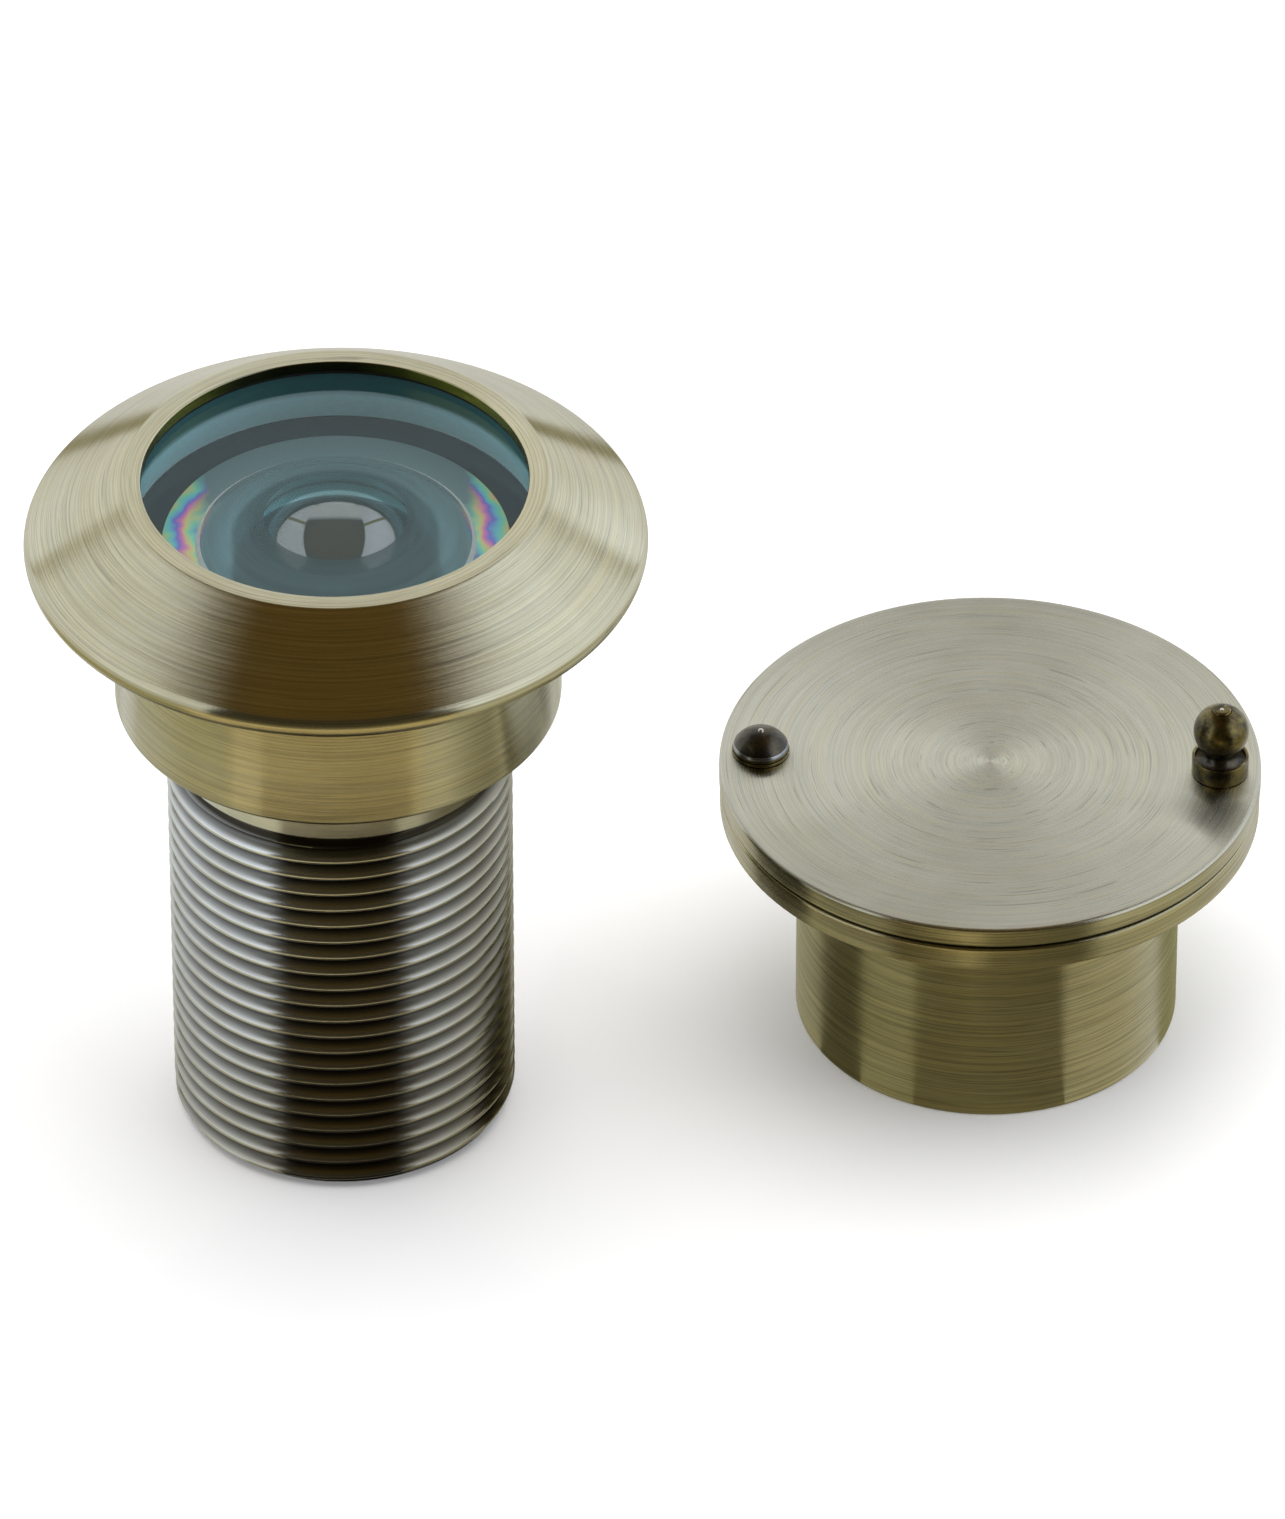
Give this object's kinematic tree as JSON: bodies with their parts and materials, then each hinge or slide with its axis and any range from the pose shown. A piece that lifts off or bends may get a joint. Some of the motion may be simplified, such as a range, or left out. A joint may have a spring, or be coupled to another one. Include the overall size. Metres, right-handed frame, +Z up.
{
  "type": "door viewer",
  "caption": "Wide-angle door viewer as two screw-together halves: flanged lens barrel with threaded tube, and threaded sleeve with eyepiece and swinging privacy cover.",
  "frame": {"origin": "middle of the bounding box's base, on the surface both halves stand on", "axes": "+Z up along the axes of both halves, +X from the outer half to the inner half, +Y to the back"},
  "size_m": [0.0772, 0.038, 0.0473],
  "materials": {
    "antique_brass": "brushed antique",
    "thread_brass": "turned",
    "dark_bronze": "dark aged",
    "bright_steel": "plain",
    "black_plastic": "matt",
    "rubber": "matt",
    "glass": "polished"
  },
  "bodies": {
    "outer_half": {"viewer_head": "antique_brass", "threaded_tube": "thread_brass", "front_seal_ring": "rubber", "front_lens": "glass", "lens_cell": "black_plastic", "middle_lens": "glass", "field_stop_ring": "black_plastic", "rear_lens": "glass", "cell_retaining_ring": "black_plastic", "cushion_ring": "rubber"},
    "inner_half": {"inner_sleeve": "antique_brass", "eyepiece_seal_ring": "rubber", "eyepiece_lens": "glass", "eyepiece_slip_ring": "black_plastic", "eyepiece_retaining_ring": "black_plastic", "pivot_under_washer": "bright_steel", "pivot_rivet": "dark_bronze", "pivot_top_washer": "dark_bronze"},
    "cover": {"privacy_cover": "antique_brass", "knob_collar": "dark_bronze", "cover_knob": "dark_bronze"}
  },
  "joints": [
    {"name": "halves_apart", "type": "slide", "parent": "outer_half", "child": "inner_half", "axis": [1, 0, 0], "range_m": [0, 0.05]},
    {"name": "cover_swing", "type": "hinge", "parent": "inner_half", "child": "cover", "pos_m": [0.00788, 0.00395, 0.0175], "axis": [0, 0, 1], "range_deg": [-78, 125]}
  ]
}
